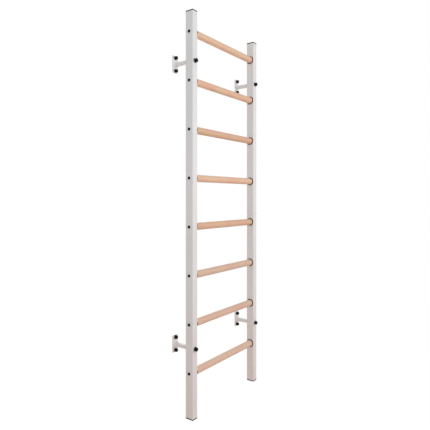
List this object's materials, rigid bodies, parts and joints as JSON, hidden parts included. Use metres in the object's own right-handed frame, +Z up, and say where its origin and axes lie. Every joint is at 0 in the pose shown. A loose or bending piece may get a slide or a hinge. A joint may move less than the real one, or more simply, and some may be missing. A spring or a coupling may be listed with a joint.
{
  "type": "swedish wall bars",
  "caption": "Wall-mounted climbing ladder: round beech rungs bolted between white steel tube uprights, held off the wall by T-shaped brackets.",
  "frame": {"origin": "on the wall at floor level, midway between the two uprights", "axes": "+X along the rungs, to the right as seen from the room; +Y into the wall; +Z up"},
  "size_m": [0.6694, 0.1603, 2.202],
  "materials": {
    "white_steel": "white powder coat, satin",
    "beech": "turned beech, clear satin lacquer",
    "black_plastic": "moulded black plastic, fine matt",
    "black_steel": "blackened steel, satin",
    "plain_steel": "zinc plated steel, out of sight inside the arms"
  },
  "bodies": {
    "root": {"upright_left": "white_steel", "foot_cap_left": "black_plastic", "top_cap_left": "black_plastic", "upright_right": "white_steel", "foot_cap_right": "black_plastic", "top_cap_right": "black_plastic", "rung_1": "beech", "rung_cup_left_1": "black_plastic", "rung_bolt_left_1": "black_steel", "rung_cup_right_1": "black_plastic", "rung_bolt_right_1": "black_steel", "rung_2": "beech", "rung_cup_left_2": "black_plastic", "rung_bolt_left_2": "black_steel", "rung_cup_right_2": "black_plastic", "rung_bolt_right_2": "black_steel", "rung_3": "beech", "rung_cup_left_3": "black_plastic", "rung_bolt_left_3": "black_steel", "rung_cup_right_3": "black_plastic", "rung_bolt_right_3": "black_steel", "rung_4": "beech", "rung_cup_left_4": "black_plastic", "rung_bolt_left_4": "black_steel", "rung_cup_right_4": "black_plastic", "rung_bolt_right_4": "black_steel", "rung_5": "beech", "rung_cup_left_5": "black_plastic", "rung_bolt_left_5": "black_steel", "rung_cup_right_5": "black_plastic", "rung_bolt_right_5": "black_steel", "rung_6": "beech", "rung_cup_left_6": "black_plastic", "rung_bolt_left_6": "black_steel", "rung_cup_right_6": "black_plastic", "rung_bolt_right_6": "black_steel", "rung_7": "beech", "rung_cup_left_7": "black_plastic", "rung_bolt_left_7": "black_steel", "rung_cup_right_7": "black_plastic", "rung_bolt_right_7": "black_steel", "rung_8": "beech", "rung_cup_left_8": "black_plastic", "rung_bolt_left_8": "black_steel", "rung_cup_right_8": "black_plastic", "rung_bolt_right_8": "black_steel", "wall_bracket_lower_left": "white_steel", "arm_plug_lower_left": "plain_steel", "clamp_bolt_lower_left": "black_plastic", "wall_bracket_lower_right": "white_steel", "arm_plug_lower_right": "plain_steel", "clamp_bolt_lower_right": "black_plastic", "wall_bracket_upper_left": "white_steel", "arm_plug_upper_left": "plain_steel", "clamp_bolt_upper_left": "black_plastic", "wall_bracket_upper_right": "white_steel", "arm_plug_upper_right": "plain_steel", "clamp_bolt_upper_right": "black_plastic"}
  },
  "joints": []
}
